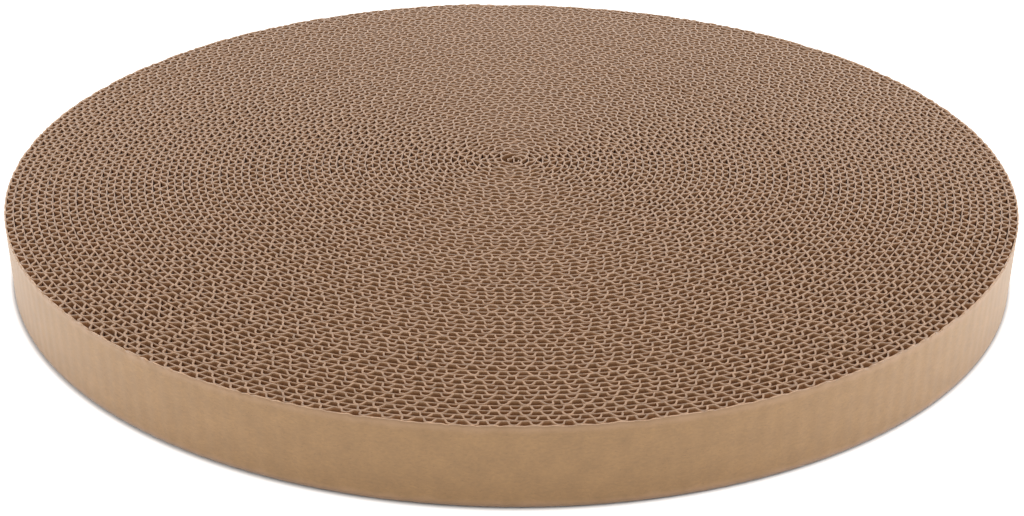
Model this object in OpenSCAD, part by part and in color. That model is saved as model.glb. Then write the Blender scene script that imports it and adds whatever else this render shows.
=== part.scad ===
// Round cat scratcher: single-face corrugated board wound on edge into a flat disc, held by a kraft rim band.
// The disc lies flat. The origin is at the middle of its lower face, +Z is up and +Y is the back.

/* [Disc] */
// Diameter over the rim band
disc_d = 400; // [240:10:480]
// Height of the disc, which is the width that the board was slit to
board_h = 30; // [15:1:60]

/* [Single-face board] */
// Thickness of the flat liner ply
liner_t = 0.3; // [0.2:0.05:0.4]
// Thickness of the fluted ply
medium_t = 0.3; // [0.2:0.05:0.4]
// Height of the fluted ply over its crests
flute_h = 2.46; // [2:0.02:3.6]
// Length of one flute, crest to crest
flute_pitch = 6.41; // [5:0.01:8]
// Film of glue on each side of the fluted ply
glue_t = 0.078; // [0.06:0.001:0.12]
// Most flutes that one drawn wave of the fluted ply stands for
flutes_a_wave = 4; // [4:1:8]

/* [Winding] */
// Number of equal strips wound one after another
strips = 12; // [8:1:20]
// Smallest radius that the board is bent to at the middle
bend_r = 3; // [3:0.5:8]
// Gap where one strip ends and the next begins
butt_gap = 0.5; // [0.2:0.1:1]
// Clearance round the folded start of the first strip
start_clear = 0.6; // [0.3:0.1:1.5]

/* [Rim band] */
// Thickness of the rim band
band_t = 0.6; // [0.4:0.1:1.2]
// Length of the slope that takes the band down from the last strip
slope_l = 24; // [12:1:40]
// Length of the glued lap
lap_l = 30; // [15:1:60]

/* [Hidden] */
// One layer of the winding: liner, glue, flutes, glue
layer_p = liner_t + flute_h + 2 * glue_t;
// A half turn grows by half a layer, so two half turns about two centres make one turn of the spiral
step_r = layer_p / 2;
// Inner radius of the band, and the number of half turns that fit inside it
band_r = (disc_d - step_r) / 2 - band_t;
half_turns = floor((band_r - bend_r) / step_r);
core_r = band_r - half_turns * step_r;
// The slope and the lap as angles, and the middle of the outline, which comes to the origin
slope_a = slope_l / band_r * 180 / PI;
lap_a = lap_l / band_r * 180 / PI;
wide_x = step_r + (band_r + step_r + band_t) * cos(slope_a);
middle = [(wide_x - band_r - band_t) / 2, -step_r / 2];
// The seam of the band faces the back
seam_a = 90;
slope_steps = 8;
arc_fn = 120;
// What the band runs into its slope, so that the two are one piece
overrun = 0.05;
// Part of the longest wave that clears the bend of the liner
wave_share = 0.9;

kraft = [0.69, 0.54, 0.38];
flute_kraft = [0.60, 0.46, 0.32];
band_kraft = [0.74, 0.60, 0.43];

function liner_name(i) = str("strip_", i < 10 ? "0" : "", i, "_liner");
function flutes_name(i) = str("strip_", i < 10 ? "0" : "", i, "_flutes");

// Half turn k, counted from the middle: its inner radius, its centre on X, its first angle and the length before it
function turn_r(k) = core_r + k * step_r;
function turn_x(k) = (half_turns - k) % 2 == 0 ? 0 : step_r;
function turn_a(k) = 180 * (k - half_turns);
function turn_s(k) = PI * k * (core_r + step_r * (k - 1) / 2);
// The half turn that holds the length s, from the quadratic that turn_s makes
function turn_at(s) = let(b = core_r - step_r / 2) floor((sqrt(b * b + 2 * step_r * s / PI) - b) / step_r);
// The length that lies one whole turn outside the length s
function turn_on(s) = let(k = turn_at(s)) turn_s(k + 2) + (s - turn_s(k)) / turn_r(k) * turn_r(k + 2);
// The point at length s along the winding, h outside the liner's inner face
function wound(s, h) =
  let(k = turn_at(s), r = turn_r(k), a = turn_a(k) + (s - turn_s(k)) / r * 180 / PI)
  [turn_x(k) + (r + h) * cos(a), (r + h) * sin(a)];

// The strips end where the slope of the band starts
wind_l = turn_s(half_turns) - slope_a * PI / 180 * turn_r(half_turns - 1);
slope_s = turn_s(half_turns + 2) - slope_a * PI / 180 * turn_r(half_turns + 1);
strip_l = wind_l / strips;
function strip_from(i) = (i - 1) * strip_l + (i == 1 ? 0 : butt_gap / 2);
function strip_to(i) = i * strip_l - butt_gap / 2;

// Waves of strip i: no longer than the bend of its innermost turn allows, and a whole number of them
function wave_max(i) =
  2 * wave_share * sqrt(2 * (turn_r(turn_at(strip_from(i))) + liner_t) * (flute_h - medium_t));
function wave_flutes(i) = max(1, min(flutes_a_wave, floor(wave_max(i) / flute_pitch)));
function wave_count(i) = ceil((strip_to(i) - strip_from(i)) / (wave_flutes(i) * flute_pitch));
function wave_half(i) = (strip_to(i) - strip_from(i)) / wave_count(i) / 2;
// Point j of the ply: troughs have even numbers and crests odd ones
function wave_point(i, j, lift) =
  wound(strip_from(i) + j * wave_half(i), liner_t + glue_t + lift + (j % 2 == 0 ? 0 : flute_h - medium_t));

// Least gap of a ribbon to its own next turn, measured between the points of the facing sides
function wave_gap(i) =
  let(last = 2 * wave_count(i), near = 2)
  min([for (j = [0:last])
    let(on = round((turn_on(strip_from(i) + j * wave_half(i)) - strip_from(i)) / wave_half(i)))
    for (q = [on - near:on + near]) if (q <= last) norm(wave_point(i, j, medium_t) - wave_point(i, q, 0))]);
function liner_gap(i) =
  min([for (s = [strip_from(i):flute_pitch:strip_to(i)]) norm(wound(s, liner_t) - wound(turn_on(s), 0))]);

// The winding is worked out anticlockwise, and mirrored so that it grows clockwise seen from above
module placed() mirror([1, 0, 0]) rotate([0, 0, seam_a]) translate([-middle.x, -middle.y, 0]) children();

// A stretch of wall along half turn k, in to out from the liner's inner face: the first angle of it,
// or the last angle of it if from_end, so that a short stretch still meets the next half turn exactly
module wall_arc(k, angle, in, out, from_end = false)
  translate([turn_x(k), 0, 0])
    rotate([0, 0, turn_a(k) + (from_end ? 180 : 0)])
      mirror([0, from_end ? 1 : 0, 0])
        rotate_extrude(angle = angle, $fn = arc_fn)
          translate([turn_r(k) + in, 0]) square([out - in, board_h]);

// A wall of thickness t from length s0 to s1 of the winding
module wall_run(s0, s1, t)
  for (k = [turn_at(s0):turn_at(s1)]) {
    run = min(s1, turn_s(k + 1)) - max(s0, turn_s(k));
    wall_arc(k, run / turn_r(k) * 180 / PI, 0, t, from_end = s0 > turn_s(k));
  }

// The start of the first strip is folded across the hollow middle
module folded_start()
  translate([turn_x(0), 0, 0])
    rotate([0, 0, turn_a(0)])
      translate([start_clear - core_r, 0, 0])
        cube([2 * core_r + liner_t - start_clear, liner_t, board_h]);

// The flat ply is one smooth spiral from end to end of its strip
module strip_liner(i) {
  echo(str(liner_name(i), ": least gap to itself ", liner_gap(i), " mm"));
  color(kraft) placed() {
    wall_run(strip_from(i), strip_to(i), liner_t);
    if (i == 1) folded_start();
  }
}

// The fluted ply is one wavy ribbon from end to end of its strip
module strip_flutes(i) {
  last = 2 * wave_count(i);
  echo(str(flutes_name(i), ": least gap to itself ", wave_gap(i), " mm"));
  color(flute_kraft) placed()
    linear_extrude(board_h)
      polygon(concat(
        [for (j = [0:last]) wave_point(i, j, 0)],
        [for (j = [last:-1:0]) wave_point(i, j, medium_t)]));
}

// The slope of the band at share t of its length: it leaves half turn half_turns + 1 and comes down to the lap
function slope_point(t, out) =
  let(a = 360 - slope_a * (1 - t), drop = (layer_p - band_t - glue_t) * (1 - cos(180 * t)) / 2,
      high = [step_r + (band_r + step_r) * cos(a), (band_r + step_r) * sin(a)], away = [cos(a), sin(a)])
  high + away * (out - drop);

// The band starts at the last strip's end and goes once round, down the slope and on to its own start
module rim_band()
  color(band_kraft) placed() {
    wall_run(wind_l + butt_gap / 2, slope_s + overrun, band_t);
    linear_extrude(board_h)
      polygon(concat(
        [for (j = [0:slope_steps]) slope_point(j / slope_steps, 0)],
        [for (j = [slope_steps:-1:0]) slope_point(j / slope_steps, band_t)]));
    wall_arc(half_turns, lap_a, band_t + glue_t, 2 * band_t + glue_t);
  }

rim_band();
for (i = [1:strips]) {
  strip_liner(i);
  strip_flutes(i);
}
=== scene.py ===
"""Round cat scratcher of single-face corrugated board, wound on edge and held by a kraft rim band.

Every ply is a ribbon: a cross-section carried along a wound centre-line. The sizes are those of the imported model.
Lengths along the winding are called s and heights off a liner's inner face h, both in millimetres.
"""

from math import cos, floor, pi, radians, sin
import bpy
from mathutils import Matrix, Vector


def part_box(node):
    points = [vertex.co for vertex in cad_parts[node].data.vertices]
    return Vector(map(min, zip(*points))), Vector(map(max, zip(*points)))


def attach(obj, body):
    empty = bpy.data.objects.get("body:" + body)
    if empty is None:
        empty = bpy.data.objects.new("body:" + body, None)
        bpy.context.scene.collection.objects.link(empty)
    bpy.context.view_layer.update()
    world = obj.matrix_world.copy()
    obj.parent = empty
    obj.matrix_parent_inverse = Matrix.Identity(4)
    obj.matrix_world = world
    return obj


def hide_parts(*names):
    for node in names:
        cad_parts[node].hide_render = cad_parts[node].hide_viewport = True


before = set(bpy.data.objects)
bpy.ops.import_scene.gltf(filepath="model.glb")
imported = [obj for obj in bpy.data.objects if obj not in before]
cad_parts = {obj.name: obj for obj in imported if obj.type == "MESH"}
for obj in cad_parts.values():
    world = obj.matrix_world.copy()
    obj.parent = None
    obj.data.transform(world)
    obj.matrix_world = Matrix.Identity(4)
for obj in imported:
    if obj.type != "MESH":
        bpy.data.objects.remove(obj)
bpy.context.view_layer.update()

from types import SimpleNamespace

import bpy
import numpy as np
from bpy.props import FloatProperty, FloatVectorProperty, IntProperty, PointerProperty
from mathutils import Matrix

bl_info = {
    "name": "Wound board scratcher",
    "version": (1, 0, 0),
    "blender": (4, 5, 0),
    "location": "View3D > Sidebar > Scratcher",
    "description": "Winds single-face corrugated board into a round cat scratcher",
    "category": "Add Mesh",
}

BAND_LOW, BAND_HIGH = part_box("rim_band")
STRIP_COUNT = sum(name.endswith("_liner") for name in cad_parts)
MM = 0.001
INSET = 0.02  # millimetres that the plies stay inside the model's upper and lower face
BOARD_MAP = "Board"  # metres along the ply and round its section
BAKE_MAP = "OFBake"  # the same ribbon cut into rows that fill a square
PAPER, CUT = 0, 1  # material slots of every ply
PLAIN_NUMBERS = ("strips", "crushed", "arch", "flute_steps")  # the sizes that aren't lengths
# The first seed of each kind of unevenness. The next numbers after it serve the same kind
SEEDS = SimpleNamespace(washboard=5, stray=7, band_edge=11, lift=41, liner=60, fluting=80, flutes=200)


# ---------------------------------------------------------------------------------------------- sizes and colours


def linear(code):
    """Turns an sRGB hex colour into the linear values that Blender works in."""
    srgb = np.array([int(code[i : i + 2], 16) for i in (1, 3, 5)]) / 255
    return tuple(np.where(srgb <= 0.04045, srgb / 12.92, ((srgb + 0.055) / 1.055) ** 2.4).tolist())


def length(name, description, default_mm):
    """A length of the sizes group, given in millimetres and kept in metres."""
    return FloatProperty(
        name=name, description=description, default=default_mm * MM, min=0, unit="LENGTH", precision=5)


def share(name, description, default):
    """A share of one, from 0 to 1."""
    return FloatProperty(name=name, description=description, default=default, min=0, max=1, subtype="FACTOR")


def tint(name, description, code):
    """A colour of the look group, given in hex."""
    return FloatVectorProperty(
        name=name, description=description, default=linear(code), min=0, max=1, size=3, subtype="COLOR")


class ScratcherSizes(bpy.types.PropertyGroup):
    """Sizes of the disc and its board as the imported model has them, then the unevenness of cut and wound paper."""

    disc_diameter: length("Diameter", "Disc over its rim band", round((BAND_HIGH.x - BAND_LOW.x) / MM, 1))
    board_height: length("Height", "Height of the disc and width of the slit board", (BAND_HIGH.z - BAND_LOW.z) / MM)
    strips: IntProperty(name="Strips", description="Strips wound one after another", default=STRIP_COUNT, min=1)
    liner: length("Liner", "Thickness of the flat ply", 0.3)
    medium: length("Fluting", "Thickness of the fluted ply", 0.3)
    flute_height: length("Flute height", "Height of the fluted ply over its crests", 2.46)
    flute_pitch: length("Flute pitch", "Length of one flute, crest to crest", 6.41)
    glue: length("Glue", "Film of glue on each side of the fluted ply", 0.078)
    bend_radius: length("Bend", "Smallest radius that the board is bent to", 3)
    butt_gap: length("Butt gap", "Gap between one strip and the next", 0.5)
    band: length("Band", "Thickness of the rim band", 0.6)
    slope_length: length("Slope", "Slope of the band over the last strip's end", 24)
    lap_length: length("Lap", "Glued lap of the band", 30)
    telescoping: length("Telescoping", "How far the turns stand up and down from each other", 0.6)
    wander: length("Wander", "How far the turns stray from true circles", 0.22)
    cut_burr: length("Cut burr", "How much the slitting knife widens a cut edge", 0.42)
    fray: length("Fray", "Unevenness of the cut edges", 0.09)
    spring: length("Spring", "How far the cut fluting springs out past the liner", 0.15)
    narrow: length("Band clearance", "How far the band stays off the floor", 0.5)
    washboard: length("Washboard", "Depth of the band between the flute crests", 0.1)
    crushed: share("Crushed flutes", "Share of the flutes that are pressed in", 0.06)
    arch: share("Arch", "How much wider the arches towards the middle are than the tips", 0.15)
    belly: length("Belly", "How far each arch bulges sideways past a plain wave", 0.26)
    flute_steps: IntProperty(name="Flute steps", description="Steps in one flute", default=12, min=6, max=24)


class ScratcherLook(bpy.types.PropertyGroup):
    """Colours of the papers and the floor."""

    liner: tint("Liner", "Face of the kraft liner", "#9F754D")
    fluting: tint("Fluting", "Face of the recycled fluting", "#B98D64")
    # The cut edge colours also tint the faces by the cuts: partly lifted fibres, partly painted light
    liner_cut: tint("Liner cut edge", "Cut edge of the liner", "#AA8465")
    fluting_cut: tint("Fluting cut edge", "Cut edge of the fluting", "#AD8767")
    band: tint("Band", "Face of the rim band", "#B38B5E")
    band_cut: tint("Band cut edge", "Cut edge of the rim band", "#C59D79")
    floor: tint("Floor", "Studio floor", "#F7F7F7")


# ---------------------------------------------------------------------------------------------- the winding


def winding(sizes):
    """Works out the spiral in millimetres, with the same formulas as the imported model.

    A half turn grows by half a layer, so arcs about two centres make one turn. The strips fill the length up to
    the band's slope, and the middle of the outline comes to the origin.
    """
    values = {key: getattr(sizes, key) for key in sizes.__annotations__}
    w = SimpleNamespace(**{key: value if key in PLAIN_NUMBERS else value / MM for key, value in values.items()})
    w.layer = w.liner + w.flute_height + 2 * w.glue
    w.grow = w.layer / 2
    w.band_r = (w.disc_diameter - w.grow) / 2 - w.band
    w.half_turns = floor((w.band_r - w.bend_radius) / w.grow)
    w.core_r = w.band_r - w.half_turns * w.grow
    w.slope_a = w.slope_length / w.band_r
    wide = w.grow + (w.band_r + w.grow + w.band) * cos(w.slope_a)
    w.middle = np.array([(wide - w.band_r - w.band) / 2, -w.grow / 2])
    w.wound_length = turn_start(w, w.half_turns) - w.slope_a * turn_radius(w, w.half_turns - 1)
    w.slope_start = turn_start(w, w.half_turns + 2) - w.slope_a * turn_radius(w, w.half_turns + 1)
    return w


def turn_radius(w, k):
    """Inner radius of the liner in half turn k, counted from the middle."""
    return w.core_r + k * w.grow


def turn_start(w, k):
    """Length of the winding before half turn k, the sum of the half circles inside it."""
    return pi * k * (w.core_r + w.grow * (k - 1) / 2)


def radius_at(w, s):
    """Mean radius of the spiral at length s, from the quadratic that the half circles' lengths make."""
    b = w.core_r - w.grow / 2
    return np.sqrt(b * b + 2 * w.grow * np.maximum(s, 0) / pi) + w.grow / 2


def placed(w, points):
    """Moves points of the winding to the disc's own place: the middle to the origin and the seam to the back."""
    return np.stack([w.middle[1] - points[..., 1], points[..., 0] - w.middle[0]], -1)


def wound(w, s, h):
    """Point at length s, h outside the liner's inner face: an angle on half turn k's own circle."""
    k = np.maximum(np.floor((radius_at(w, s) - w.core_r) / w.grow), 0)
    radius = turn_radius(w, k)
    angle = pi * (k - w.half_turns) + (s - turn_start(w, k)) / radius
    centre = np.where((w.half_turns - k) % 2 == 0, 0, w.grow)
    return placed(w, np.stack([centre + (radius + h) * np.cos(angle), (radius + h) * np.sin(angle)], -1))


def path_lengths(points):
    """Length of a plane path up to each of its points, the sum of its steps."""
    return np.concatenate([[0], np.cumsum(np.linalg.norm(np.diff(points, axis=0), axis=1))])


def outwards(points):
    """Unit direction to the right of a plane path at each of its points, which is away from the disc's middle."""
    heading = np.gradient(points, axis=0)
    heading /= np.linalg.norm(heading, axis=1)[:, None]
    return np.stack([heading[:, 1], -heading[:, 0]], 1)


def rounded(corners, steps):
    """A smooth curve through all corners but the two outer ones: between each two, the cubic whose slopes follow
    the corners beside them."""
    t = np.linspace(0, 1, steps, endpoint=False)[:, None, None]
    a, b, c, d = corners[:-3], corners[1:-2], corners[2:-1], corners[3:]
    curve = b + (c - a) / 2 * t + (a - 2.5 * b + 2 * c - d / 2) * t**2 + ((d - a) / 2 + 1.5 * (b - c)) * t**3
    return curve.transpose(1, 0, 2).reshape(-1, 2)


def folded(w):
    """Centre-line of the liner's folded start: a hook, the way across the hollow middle and one tight bend.

    Returns the lengths, which run up to the place where the winding proper takes over, and the points. The
    corners are given as shares of the core's radius.
    """
    joint = 1.1  # length at which the winding takes over
    core = w.core_r * np.array([
        (0.35, 0.62), (-0.05, 0.66), (-0.45, 0.68), (-0.72, 0.42), (-0.62, 0.12), (-0.25, 0.09), (0.3, 0.1),
        (0.72, 0.01), (0.98, 0.08)])
    if w.half_turns % 2 == 1:  # the first half turn's own centre and heading
        core = [w.grow, 0] - core
    on = wound(w, np.array([joint, 2 * joint]), w.liner / 2)
    points = rounded(np.vstack([placed(w, core), on]), steps=8)
    s = path_lengths(points)
    return s - s[-1] + joint - np.linalg.norm(on[0] - points[-1]), points


def along_board(w, s, h):
    """Point at length s, h outside the liner's inner face, on the folded start as well as on the winding."""
    fold_s, fold = folded(w)
    x, y, right, up = (np.interp(s, fold_s, column) for column in (*fold.T, *outwards(fold).T))
    high = np.asarray(h) - w.liner / 2
    start = np.stack([x + right * high, y + up * high], -1)
    return np.where((s < fold_s[-1])[:, None], start, wound(w, s, h))


def strip_ends(w, i):
    """First and last length of strip i, counted from 1."""
    each = w.wound_length / w.strips
    return (i - 1) * each + (w.butt_gap / 2 if i > 1 else 0), i * each - w.butt_gap / 2


def smooth_noise(seed, x, wavelength):
    """Seeded noise from -1 to 1 along x: random values, one to a wavelength, joined by cosine steps."""
    t = x / wavelength + 1
    values = np.random.default_rng(seed).uniform(-1, 1, int(t.max()) + 2)
    k = t.astype(int)
    ease = (1 - np.cos(pi * (t - k))) / 2
    return values[k] * (1 - ease) + values[k + 1] * ease


def strayed(w, points):
    """Sum of three long seeded sine waves across the disc, which every ply follows. It fades towards the rim and
    towards the middle."""
    wavelengths = (95, 61, 38)
    rim_fade, middle_fade = 40, 12
    rng = np.random.default_rng(SEEDS.stray)
    push = np.zeros_like(points)
    for wavelength in wavelengths:
        heading, phase, turn = rng.uniform(0, 2 * pi, 3)
        along = points @ np.array([cos(heading), sin(heading)])
        push += np.sin(2 * pi * along / wavelength + phase)[:, None] * np.array([cos(turn), sin(turn)]) / 3
    away = np.linalg.norm(points, axis=1)
    still = w.band_r - 3 * w.layer  # the last three layers lie true against the band
    fade = np.clip((still - away) / rim_fade, 0, 1) * np.clip(away / middle_fade, 0, 1)
    return points + push * (w.wander * fade)[:, None]


def slit_heights(w, s):
    """Lower and upper cut of the board at each length s: it keeps its width and the turns telescope.

    The lift is one half and the sum of a slow and a faster noise, whose shares keep it between 0 and 1.
    """
    slow, faster = (smooth_noise(SEEDS.lift + k, s, wavelength) for k, wavelength in ((0, 420), (1, 130)))
    lift = 0.5 + 0.32 * slow + 0.18 * faster
    low = INSET + w.telescoping * lift
    return low, low + w.board_height - w.telescoping - 2 * INSET


# ---------------------------------------------------------------------------------------------- ribbons


def ribbon(name, path, rows, thickness, materials):
    """Carries an upright section along a plane path and returns it as a closed ply.

    path is n points of the centre-line. rows and thickness have one column for each height of the section: where
    it is at each point of the path and how thick the ply is there. The inner side rises through the rows and the
    outer side comes down, so one ring has two vertices a row, and each step of the path joins two rings by quads.
    At the end the ply is mirrored, because the paths run anticlockwise and the board is wound clockwise outwards.
    """
    steps, levels = len(path) - 1, rows.shape[1]
    ring = 2 * levels
    offset = np.hstack([-thickness / 2, thickness[:, ::-1] / 2])
    heights = np.hstack([rows, rows[:, ::-1]])
    plane = path[:, None, :] + outwards(path)[:, None, :] * offset[:, :, None]
    points = np.dstack([plane, heights]).reshape(-1, 3) * MM * (-1, 1, 1)

    j, r = np.meshgrid(np.arange(steps), np.arange(ring), indexing="ij")
    nxt = (r + 1) % ring
    sides = np.stack([j * ring + r, j * ring + nxt, (j + 1) * ring + nxt, (j + 1) * ring + r], -1).reshape(-1, 4)
    low = np.arange(levels - 1)
    cap = np.stack([low, ring - 1 - low, ring - 2 - low, low + 1], -1)
    quads = np.vstack([sides, cap, steps * ring + cap[:, ::-1]])
    cut_ring = (r == levels - 1) | (r == ring - 1)
    cut = np.concatenate([cut_ring.ravel(), np.ones(2 * len(cap), bool)])

    # The mirroring turns the faces round, so their corners are taken backwards
    mesh = bpy.data.meshes.new(name)
    mesh.vertices.add(len(points))
    mesh.vertices.foreach_set("co", points.ravel())
    mesh.loops.add(quads.size)
    mesh.loops.foreach_set("vertex_index", quads[:, ::-1].ravel())
    mesh.polygons.add(len(quads))
    mesh.polygons.foreach_set("loop_start", np.arange(0, quads.size, 4))
    mesh.polygons.foreach_set("use_smooth", ~cut)
    mesh.polygons.foreach_set("material_index", np.where(cut, CUT, PAPER))
    for layer, places in zip((BOARD_MAP, BAKE_MAP), ribbon_maps(path, rows)):
        mesh.uv_layers.new(name=layer).data.foreach_set("uv", places[:, ::-1].ravel())
    mesh.update(calc_edges=True)
    if mesh.validate():
        raise RuntimeError(f"{name} had faulty faces")
    for material in materials:
        mesh.materials.append(material)
    ply = bpy.data.objects.new(name, mesh)
    bpy.context.scene.collection.objects.link(ply)
    return ply


def ribbon_maps(path, rows):
    """The board map and the bake map of a ribbon: the places of four corners for each face, sides first, then caps.

    On the board map u is the way along the ply and v the way round its section. The bake map cuts that strip into
    rows, stacks them to fill a square and puts the two end caps beside the first and the last row.
    """
    wide_cut = 1.0  # millimetres that a cut edge takes up on the maps, so that it gets its own pixels
    spare = 4  # columns beside the rows, for the caps and room round them
    steps, ring = len(path) - 1, 2 * rows.shape[1]
    j, r = np.meshgrid(np.arange(steps), np.arange(ring), indexing="ij")
    low = np.arange(rows.shape[1] - 1)
    middle = rows.mean(0)
    around = np.concatenate([middle, middle[-1] + wide_cut + (middle[-1] - middle[::-1])])
    around = np.append(around, around[-1] + wide_cut) - around[0]
    along = path_lengths(path)

    u = np.stack([along[j], along[j], along[j + 1], along[j + 1]], -1).reshape(-1, 4)
    v = np.stack([around[r], around[r + 1], around[r + 1], around[r]], -1).reshape(-1, 4)
    cap_u = np.tile([0, wide_cut, wide_cut, 0], (len(low), 1))
    cap_v = np.stack([around[low], around[low], around[low + 1], around[low + 1]], -1)
    board = np.stack([np.vstack([u, cap_u, along[-1] + cap_u]), np.vstack([v, cap_v, cap_v[:, ::-1]])], -1)

    tall = around[-1] + 2 * wide_cut
    count = max(2, round((along[-1] / tall) ** 0.5))
    per_row = -(-steps // count)
    row, first = j // per_row, j % per_row
    u = np.stack([first, first, first + 1, first + 1], -1).reshape(-1, 4) / (per_row + spare)
    v = (v.reshape(steps, ring, 4) + (row * tall + wide_cut)[:, :, None]).reshape(-1, 4)
    cap_u = (per_row + 1 + np.tile([0, 1, 1, 0], (len(low), 1))) / (per_row + spare)
    last = (count - 1) * tall + wide_cut
    v = np.vstack([v, wide_cut + cap_v, last + cap_v[:, ::-1]]) / (count * tall)
    return board * MM, np.stack([np.vstack([u, cap_u, cap_u]), v], -1)


def section(w, s, short, thickness, burr, seed):
    """Rows and thicknesses of a slit ply: two cut edges, widened by the knife and frayed, and a shoulder by each.

    Each cut falls short of the board's own by the given length, and gets the given share of the cut burr.
    """
    shoulder = 0.9  # how far from its cut the ply has its plain thickness again
    least_burr = 0.3
    sharp, slow = 0.6, 0.4  # shares of the fray from point to point and of the fray that changes over 9 mm
    low, high = slit_heights(w, s)
    rng = np.random.default_rng(seed)
    ragged = [
        w.fray * (sharp * rng.uniform(-1, 0, len(s)) + slow * smooth_noise(seed + k, s, wavelength=9))
        for k in (1, 2)]
    top, bottom = high - short + np.minimum(ragged[0], 0), low + short - np.minimum(ragged[1], 0)
    burrs = w.cut_burr * burr * rng.uniform(least_burr, 1, (len(s), 2))
    plain = np.full(len(s), thickness)
    rows = np.stack([bottom, low + shoulder, high - shoulder, top], 1)
    return rows, np.stack([plain + burrs[:, 0], plain, plain, plain + burrs[:, 1]], 1)


def torn_edge(seed, s, chips):
    """How far a torn edge falls short at each length s: a slow sway, and chips, squared so that few are deep."""
    sway = 0.04
    return (sway * (1 + smooth_noise(seed, s, wavelength=23))
            + chips * (1 + smooth_noise(seed + 1, s, wavelength=1.8)) ** 2)


def spread_steps(w, start, end, longest, sag):
    """Lengths from start to end whose chords are no longer than longest and stray from the arc by sag at most."""
    samples_a_mm, least_samples = 4, 8
    fine = np.linspace(start, end, int(end - start) * samples_a_mm + least_samples)
    step = np.minimum(longest, np.sqrt(8 * sag * radius_at(w, fine)))
    count = np.concatenate([[0], np.cumsum(np.diff(fine) / step[1:])])
    return np.interp(np.linspace(0, count[-1], int(count[-1]) + 2), count, fine)


def liner_path(w, i):
    """Centre-line of strip i's flat ply. The first one starts folded across the hollow middle."""
    start, end = strip_ends(w, i)
    s = spread_steps(w, start, end, longest=3.2, sag=0.02)
    if i == 1:
        least_step = 0.2
        fold_s = folded(w)[0]
        s = np.concatenate([fold_s, s[s > fold_s[-1] + least_step]])
    return s, along_board(w, s, w.liner / 2)


def flute_path(w, i):
    """Centre-line of strip i's fluted ply: rounded flutes of the real pitch between its liner and the next turn.

    The wave is (1 - cos)/2 of the flute's phase with a third harmonic that rounds the crests and steepens the
    legs, and a second one that makes the arches towards the middle wider than the tips. A sine of twice the phase
    along the ply bellies the arches out. Each flute has its own lean and height, and all drift along the ply.
    """
    fold_share = 0.66  # part of a flute that lies along the folded start
    gather = 0.4  # how much closer the steps lie where the ply bends
    third = 0.05  # share of the third harmonic
    uneven, crush = 0.07, (0.05, 0.2)  # shares of its height that any flute can lack, and a crushed one besides
    lean_mm, drift_mm = 0.45, 0.2
    press = 0.01  # millimetres that a crest is pressed into the liner it is glued to

    first, last = (end / w.flute_pitch for end in strip_ends(w, i))
    first -= fold_share if i == 1 else 0
    even = np.linspace(first, last, round((last - first) * w.flute_steps) + 1)
    phase = even - gather * np.sin(4 * pi * even) / (4 * pi)
    wave = 0.5 - (0.5 + third) * np.cos(2 * pi * phase) + third * np.cos(6 * pi * phase)
    wave = wave - w.arch * np.sin(2 * pi * phase) ** 2

    rng = np.random.default_rng(SEEDS.flutes)
    flutes = int(w.wound_length / w.flute_pitch) + 2
    tall = 1 - uneven * rng.random(flutes)
    tall -= np.where(rng.random(flutes) < w.crushed, rng.uniform(*crush, flutes), 0)
    lean = rng.normal(0, lean_mm, flutes)
    own = np.maximum(phase, 0).astype(int)
    drift = sum(drift_mm * smooth_noise(SEEDS.flutes + k, phase, wavelength) for k, wavelength in ((1, 23), (2, 4)))
    s = phase * w.flute_pitch + w.belly * np.sin(4 * pi * phase) + drift + lean[own] * wave
    low = w.liner + w.medium / 2 - press
    high = w.layer - w.medium / 2 + press
    return s, along_board(w, s, low + (high - low) * wave * tall[own])


def band_path(w):
    """Centre-line of the rim band: once round on the last turn, down a cosine slope and on over its own start.

    Between the crests of the flutes under it the band sinks in, a little more here than there, as a washboard that
    fades in and out at its ends.
    """
    steps_a_flute, slope_steps, lap_steps = 8, 25, 38
    fade_in = 20
    lap_after = 0.8  # way from the end of the slope to the first point of the lap
    half = w.band / 2

    s = np.arange(w.wound_length + w.butt_gap / 2, w.slope_start, w.flute_pitch / steps_a_flute)
    ends = np.clip(np.minimum(s - s[0], s[-1] - s) / fade_in, 0, 1)
    uneven = 0.7 + 0.3 * smooth_noise(SEEDS.washboard, s, wavelength=31)
    dent = w.washboard * ends * (0.5 - 0.5 * np.cos(2 * pi * s / w.flute_pitch)) * uneven
    round_once = wound(w, s, half - dent)

    t = np.linspace(0, 1, slope_steps)[:, None]
    angle = 2 * pi - w.slope_a * (1 - t)
    away = np.hstack([np.cos(angle), np.sin(angle)])
    drop = (w.layer - w.band - w.glue) * (1 - np.cos(pi * t)) / 2
    slope = placed(w, np.array([w.grow, 0]) + away * (w.band_r + w.grow + half - drop))

    lap_s = turn_start(w, w.half_turns) + np.linspace(0, w.lap_length, lap_steps)[1:]
    lap = wound(w, lap_s, w.band + w.glue + half)
    slope_end = w.slope_start + w.slope_length
    along = np.concatenate([s, w.slope_start + w.slope_length * t[:, 0], slope_end + lap_s - lap_s[0] + lap_after])
    return along, np.vstack([round_once, slope, lap])


# ---------------------------------------------------------------------------------------------- materials


def bare_tree(owner):
    """Switches a material or a world to nodes and returns its node tree, emptied."""
    owner.use_nodes = True
    owner.node_tree.nodes.clear()
    return owner.node_tree


def add(tree, kind, inputs=None, **settings):
    """Adds a node with its settings. An input is given a value, or another node's socket, which is linked."""
    node = tree.nodes.new(kind)
    for key, value in settings.items():
        setattr(node, key, value)
    for key, value in (inputs or {}).items():
        if isinstance(value, bpy.types.NodeSocket):
            tree.links.new(value, node.inputs[key])
        else:
            node.inputs[key].default_value = value
    return node


def shade(colour, factor):
    """The colour darkened or lightened by a factor, with full opacity."""
    return (*[min(1, c * factor) for c in colour], 1)


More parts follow.
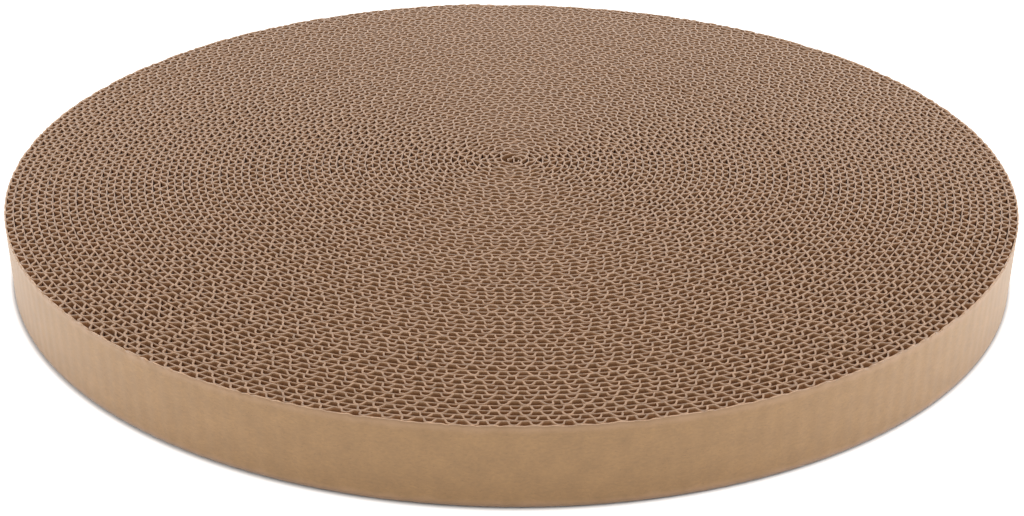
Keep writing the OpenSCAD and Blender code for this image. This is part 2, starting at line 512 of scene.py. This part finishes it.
def kraft_face(name, colour, frayed_and_lit, board_mm, frayed_and_lit_mm, cloud_mm, bundle_mm, contrast, roughness, sheen):
    """Face of a machine-made kraft paper: an even brown with cloudy formation, fibres laid along the web and
    a few darker shives. Near both cuts it is paler: partly fibres that the knife has lifted, partly painted light
    that stands in for the light reaching the faces just under a cut. It looks matt straight on and pale at a
    glancing angle."""
    material = bpy.data.materials.new(name)
    tree = bare_tree(material)
    ply = add(tree, "ShaderNodeUVMap", uv_map=BOARD_MAP)
    # Clouds of a few millimetres, the formation that is seen against the light
    cloud = add(tree, "ShaderNodeTexNoise", {
        "Vector": ply.outputs[0], "Scale": 1 / (cloud_mm * MM), "Detail": 3, "Roughness": 0.6})
    # Bundles of fibres, given by length and width, and wider than the real 0.05 mm so that they show
    laid = add(tree, "ShaderNodeMapping", {
        "Vector": ply.outputs[0], "Scale": (1 / (bundle_mm[0] * MM), 1 / (bundle_mm[1] * MM), 1)})
    fibre = add(tree, "ShaderNodeTexNoise", {
        "Vector": laid.outputs[0], "Scale": 1, "Detail": 3, "Roughness": 0.7, "Distortion": 0.6})
    # Shives, dark slivers of bark about 0.15 mm wide and 0.7 mm long
    chopped = add(tree, "ShaderNodeMapping", {"Vector": ply.outputs[0], "Scale": (0.35 / MM, 1.6 / MM, 1)})
    shive = add(tree, "ShaderNodeTexVoronoi", {"Vector": chopped.outputs[0], "Scale": 1})
    speck = add(tree, "ShaderNodeMapRange", {
        "Value": shive.outputs["Distance"], "From Min": 0.05, "From Max": 0.12, "To Min": 1, "To Max": 0})
    clouded = add(tree, "ShaderNodeMix", {
        "Factor": cloud.outputs[0], 6: shade(colour, 1 - contrast), 7: shade(colour, 1 + contrast)},
        data_type="RGBA")
    streak = add(tree, "ShaderNodeMapRange", {
        "Value": fibre.outputs[0], "From Min": 0.3, "From Max": 0.7,
        "To Min": 1 - contrast / 2, "To Max": 1 + contrast / 2})
    streaked = add(tree, "ShaderNodeVectorMath", {
        0: clouded.outputs[2], 1: streak.outputs[0]}, operation="MULTIPLY")
    flecked = add(tree, "ShaderNodeMix", {
        "Factor": speck.outputs[0], 6: streaked.outputs[0], 7: shade(colour, 0.55)}, data_type="RGBA")
    # Height off the middle of the board, unsettled by the clouds, and the paleness that grows with it:
    # partly lifted fibres, partly painted light near the cuts
    place = add(tree, "ShaderNodeTexCoord")
    height = add(tree, "ShaderNodeSeparateXYZ", {0: place.outputs["Object"]})
    middle = add(tree, "ShaderNodeMath", {0: height.outputs[2], 1: board_mm / 2 * MM}, operation="SUBTRACT")
    away = add(tree, "ShaderNodeMath", {0: middle.outputs[0]}, operation="ABSOLUTE")
    unsettled = add(tree, "ShaderNodeMath", {
        0: cloud.outputs[0], 1: frayed_and_lit_mm * MM, 2: away.outputs[0]}, operation="MULTIPLY_ADD")
    raised_and_lit = add(tree, "ShaderNodeMapRange", {
        "Value": unsettled.outputs[0], "From Min": (board_mm / 2 - frayed_and_lit_mm / 2) * MM,
        "From Max": (board_mm / 2 + frayed_and_lit_mm / 2) * MM})
    # Painted light in part: the face is mixed towards the paler cut colour near the cuts
    edged = add(tree, "ShaderNodeMix", {
        "Factor": raised_and_lit.outputs[0], 6: flecked.outputs[2], 7: shade(frayed_and_lit, 1)}, data_type="RGBA")
    rough = add(tree, "ShaderNodeMapRange", {
        "Value": fibre.outputs[0], "To Min": roughness - 0.08, "To Max": roughness + 0.08})
    bump = add(tree, "ShaderNodeBump", {"Height": fibre.outputs[0], "Strength": 0.4, "Distance": 0.03 * MM})
    shader = add(tree, "ShaderNodeBsdfPrincipled", {
        "Base Color": edged.outputs[2], "Roughness": rough.outputs[0], "IOR": 1.5, "Normal": bump.outputs[0],
        "Sheen Weight": sheen, "Sheen Roughness": 0.5})
    add(tree, "ShaderNodeOutputMaterial", {"Surface": shader.outputs[0]})
    return material


def cut_edge(name, colour):
    """Cut edge of kraft board: torn fibre ends, matt and rougher than the face, pale in tufts and darkened in small
    notches by painted shade, so that a cut reads as an uneven pale line."""
    material = bpy.data.materials.new(name)
    tree = bare_tree(material)
    place = add(tree, "ShaderNodeTexCoord")
    # Tufts of two or three millimetres, and notches of 0.3 mm where the knife has torn fibres out,
    # with painted shade darkening the notches
    tuft = add(tree, "ShaderNodeTexNoise", {"Vector": place.outputs["Object"], "Scale": 0.4 / MM, "Detail": 3})
    notch = add(tree, "ShaderNodeTexNoise", {"Vector": place.outputs["Object"], "Scale": 3.2 / MM, "Detail": 1})
    worn = add(tree, "ShaderNodeMapRange", {
        "Value": tuft.outputs[0], "From Min": 0.3, "From Max": 0.7, "To Min": 0.46, "To Max": 1.3})
    # Painted shade: darker where the notches sink in
    notch_shade = add(tree, "ShaderNodeMapRange", {
        "Value": notch.outputs[0], "From Min": 0.32, "From Max": 0.5, "To Min": 0.72, "To Max": 1})
    both = add(tree, "ShaderNodeMath", {0: worn.outputs[0], 1: notch_shade.outputs[0]}, operation="MULTIPLY")
    # Past one the mix goes on beyond the colour, so the palest tufts are lighter than it
    tone = add(tree, "ShaderNodeMix", {
        "Factor": both.outputs[0], 6: shade(colour, 0.35), 7: shade(colour, 1)},
        data_type="RGBA", clamp_factor=False)
    bump = add(tree, "ShaderNodeBump", {"Height": notch.outputs[0], "Strength": 0.6, "Distance": 0.08 * MM})
    shader = add(tree, "ShaderNodeBsdfPrincipled", {
        "Base Color": tone.outputs[2], "Roughness": 0.85, "IOR": 1.45, "Normal": bump.outputs[0],
        "Sheen Weight": 1, "Sheen Roughness": 0.4})
    add(tree, "ShaderNodeOutputMaterial", {"Surface": shader.outputs[0]})
    return material


# ---------------------------------------------------------------------------------------------- operators


class SCRATCHER_OT_liners(bpy.types.Operator):
    """Wind the flat kraft plies, one for each strip"""

    bl_idname = "scratcher.liners"
    bl_label = "Kraft liners"

    def execute(self, context):
        w, look = winding(context.scene.scratcher_sizes), context.scene.scratcher_look
        papers = [
            kraft_face(
                "kraft linerboard", look.liner, look.liner_cut, w.board_height,
                # The pale zone by each cut is partly lifted fibres and partly painted light
                frayed_and_lit_mm=0.8, cloud_mm=5, bundle_mm=(2, 0.15), contrast=0.09, roughness=0.62, sheen=0.15),
            cut_edge("cut linerboard edge", look.liner_cut),
        ]
        for i in range(1, w.strips + 1):
            s, path = liner_path(w, i)
            rows, thick = section(w, s, short=w.spring, thickness=w.liner, burr=0.55, seed=SEEDS.liner + i)
            ply = ribbon(f"board_liner_{i:02d}", strayed(w, path), rows, thick, papers)
            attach(ply, "root")
            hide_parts(f"strip_{i:02d}_liner")
        return {"FINISHED"}


class SCRATCHER_OT_flutes(bpy.types.Operator):
    """Wind the fluted plies, one for each strip, with every flute at its real pitch"""

    bl_idname = "scratcher.flutes"
    bl_label = "Fluted plies"

    def execute(self, context):
        w, look = winding(context.scene.scratcher_sizes), context.scene.scratcher_look
        papers = [
            kraft_face(
                "recycled fluting paper", look.fluting, look.fluting_cut, w.board_height,
                # The pale zone by each cut is partly lifted fibres and partly painted light
                frayed_and_lit_mm=0.8, cloud_mm=4, bundle_mm=(2, 0.15), contrast=0.12, roughness=0.7, sheen=0.15),
            cut_edge("cut fluting edge", look.fluting_cut),
        ]
        for i in range(1, w.strips + 1):
            s, path = flute_path(w, i)
            rows, thick = section(w, s, short=0, thickness=w.medium, burr=1, seed=SEEDS.fluting + i)
            ply = ribbon(f"board_flutes_{i:02d}", strayed(w, path), rows, thick, papers)
            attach(ply, "root")
            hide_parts(f"strip_{i:02d}_flutes")
        return {"FINISHED"}


class SCRATCHER_OT_band(bpy.types.Operator):
    """Wrap the plain kraft band round the rim, with its glued lap at the back"""

    bl_idname = "scratcher.band"
    bl_label = "Rim band"

    def execute(self, context):
        w, look = winding(context.scene.scratcher_sizes), context.scene.scratcher_look
        papers = [
            kraft_face(
                "machine-smooth kraft wrap", look.band, look.band_cut, w.board_height,
                # The pale zone by each cut is partly lifted fibres and partly painted light
                frayed_and_lit_mm=3.2, cloud_mm=8, bundle_mm=(1.6, 0.8), contrast=0.2, roughness=0.5, sheen=0.3),
            cut_edge("cut wrap edge", look.band_cut),
        ]
        s, path = band_path(w)
        # The band is cut a little narrower than the board, with torn edges, and its rows lie closer towards them
        low_chips, high_chips, levels = 0.02, 0.13, 8
        low = w.narrow + torn_edge(SEEDS.band_edge, s, low_chips)
        high = w.board_height - INSET - torn_edge(SEEDS.band_edge + 2, s, high_chips)
        fall = 0.5 - 0.5 * np.cos(pi * np.linspace(0, 1, levels))
        rows = low[:, None] + (high - low)[:, None] * fall
        # It is thinner than in the model, so that the burr of its edges stays inside the model's outline
        room, burr, least_burr = 0.12, 0.1, 0.3
        thick = np.full(rows.shape, w.band - room)
        thick[:, [0, -1]] += burr * np.random.default_rng(SEEDS.band_edge + 4).uniform(least_burr, 1, (len(s), 2))
        ply = ribbon("kraft_rim_band", path, rows, thick, papers)
        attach(ply, "root")
        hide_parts("rim_band")
        return {"FINISHED"}


class SCRATCHER_OT_stage(bpy.types.Operator):
    """Set the pale floor, the soft studio light and the camera"""

    bl_idname = "scratcher.stage"
    bl_label = "Studio stage"

    def execute(self, context):
        scene = context.scene
        studio_floor(scene, scene.scratcher_look.floor, scene.scratcher_sizes.disc_diameter / 2)
        white_room(scene)
        lamps(scene)
        camera(scene)
        scene.view_settings.view_transform = "Standard"
        return {"FINISHED"}


def seen_directly(tree):
    """One for rays from the camera and for the mirror and clear rays that carry on from it, otherwise nought."""
    path = add(tree, "ShaderNodeLightPath")
    some = add(tree, "ShaderNodeMath", {
        0: path.outputs["Is Camera Ray"], 1: path.outputs["Is Glossy Ray"]}, operation="MAXIMUM")
    return add(tree, "ShaderNodeMath", {
        0: some.outputs[0], 1: path.outputs["Is Transmission Ray"]}, operation="MAXIMUM").outputs[0]


def studio_floor(scene, colour, disc_radius):
    """A wide sheet of matt white paper that keeps the disc's shadow and glows a little, so that it looks white.

    The glow leaves out the place where the disc stands, so that the shadow under its edge stays dark.
    """
    reach, glow_strength, glow_edge = 6.0, 0.62, 1.5 * MM
    mesh = bpy.data.meshes.new("studio_floor")
    corners = [(-reach, -reach, 0), (reach, -reach, 0), (reach, reach, 0), (-reach, reach, 0)]
    mesh.from_pydata(corners, [], [(0, 1, 2, 3)])
    sheet = bpy.data.objects.new("studio_floor", mesh)
    scene.collection.objects.link(sheet)
    material = bpy.data.materials.new("matt white studio paper")
    tree = bare_tree(material)
    place = add(tree, "ShaderNodeTexCoord")
    away = add(tree, "ShaderNodeVectorMath", {0: place.outputs["Object"]}, operation="LENGTH")
    beside = add(tree, "ShaderNodeMapRange", {
        "Value": away.outputs["Value"], "From Min": disc_radius, "From Max": disc_radius + glow_edge,
        "To Max": glow_strength})
    glow = add(tree, "ShaderNodeMath", {0: seen_directly(tree), 1: beside.outputs[0]}, operation="MULTIPLY")
    shader = add(tree, "ShaderNodeBsdfPrincipled", {
        "Base Color": shade(colour, 1), "Roughness": 1, "Specular IOR Level": 0,
        "Emission Color": (1, 1, 1, 1), "Emission Strength": glow.outputs[0]})
    add(tree, "ShaderNodeOutputMaterial", {"Surface": shader.outputs[0]})
    mesh.materials.append(material)


def white_room(scene):
    """A room that looks white and lights the disc evenly from all round, with about half that strength."""
    light_strength = 0.55
    world = bpy.data.worlds.new("white room")
    tree = bare_tree(world)
    level = add(tree, "ShaderNodeMapRange", {"Value": seen_directly(tree), "To Min": light_strength, "To Max": 1})
    light = add(tree, "ShaderNodeBackground", {"Color": (1, 1, 1, 1), "Strength": level.outputs[0]})
    add(tree, "ShaderNodeOutputWorld", {"Surface": light.outputs[0]})
    scene.world = world


def lamps(scene):
    """A softbox above and behind the disc, one low at each side and a weak one in front."""
    size = 0.5
    for name, place, aim, power in (
        ("overhead_softbox", (0, 0.8, 1.5), (0, 0, 0), 16),
        ("left_softbox", (-1.3, 0, 0.3), (0, 0, 0.02), 4.4),
        ("right_softbox", (1.3, 0, 0.3), (0, 0, 0.02), 5.5),
        ("front_softbox", (0, -1.6, 0.15), (0, 0, 0.01), 0.9),
    ):
        data = bpy.data.lights.new(name, "AREA")
        data.shape, data.size, data.energy = "SQUARE", size, power
        lamp = bpy.data.objects.new(name, data)
        away = np.array(place) - np.array(aim)
        across = np.cross([0, 1, 0] if abs(away[2]) > 1 else [0, 0, 1], away)
        across = across / np.linalg.norm(across)
        away = away / np.linalg.norm(away)
        turned = Matrix(np.stack([across, np.cross(away, across), away], 1).tolist()).to_4x4()
        lamp.matrix_world = Matrix.Translation(place) @ turned
        scene.collection.objects.link(lamp)


def camera(scene):
    """The camera of the photograph, from the fit of the disc's outline."""
    place = (0, -0.6073, 0.2948)
    pitch, yaw, roll = radians(27.09), 0.0008, 0.0057
    data = bpy.data.cameras.new("camera")
    data.sensor_width, data.lens = 36, 56.83
    data.clip_start, data.clip_end = 0.01, 50
    eye = bpy.data.objects.new("camera", data)
    eye.matrix_world = (
        Matrix.Translation(place)
        @ Matrix.Rotation(-yaw, 4, "Z")
        @ Matrix.Rotation(pi / 2 - pitch, 4, "X")
        @ Matrix.Rotation(roll, 4, "Z")
    )
    scene.collection.objects.link(eye)
    scene.camera = eye


class SCRATCHER_PT_panel(bpy.types.Panel):
    """Lists the sizes, the colours and the steps that build the disc"""

    bl_idname = "SCRATCHER_PT_panel"
    bl_label = "Board scratcher"
    bl_space_type = "VIEW_3D"
    bl_region_type = "UI"
    bl_category = "Scratcher"

    def draw(self, context):
        for step in STEPS:
            self.layout.operator(step.bl_idname)
        for group in (context.scene.scratcher_sizes, context.scene.scratcher_look):
            box = self.layout.box()
            for key in group.__annotations__:
                box.prop(group, key)


STEPS = (SCRATCHER_OT_liners, SCRATCHER_OT_flutes, SCRATCHER_OT_band, SCRATCHER_OT_stage)
CLASSES = (ScratcherSizes, ScratcherLook, *STEPS, SCRATCHER_PT_panel)


def register():
    """Registers the classes and hangs the two groups on the scene."""
    for each in CLASSES:
        bpy.utils.register_class(each)
    bpy.types.Scene.scratcher_sizes = PointerProperty(type=ScratcherSizes)
    bpy.types.Scene.scratcher_look = PointerProperty(type=ScratcherLook)


def unregister():
    """Takes the groups and classes away again."""
    del bpy.types.Scene.scratcher_look, bpy.types.Scene.scratcher_sizes
    for each in reversed(CLASSES):
        bpy.utils.unregister_class(each)


def main():
    """Builds the disc and its stage in order."""
    register()
    for step in STEPS:
        group, _, name = step.bl_idname.partition(".")
        getattr(getattr(bpy.ops, group), name)()


if __name__ == "__main__":
    main()
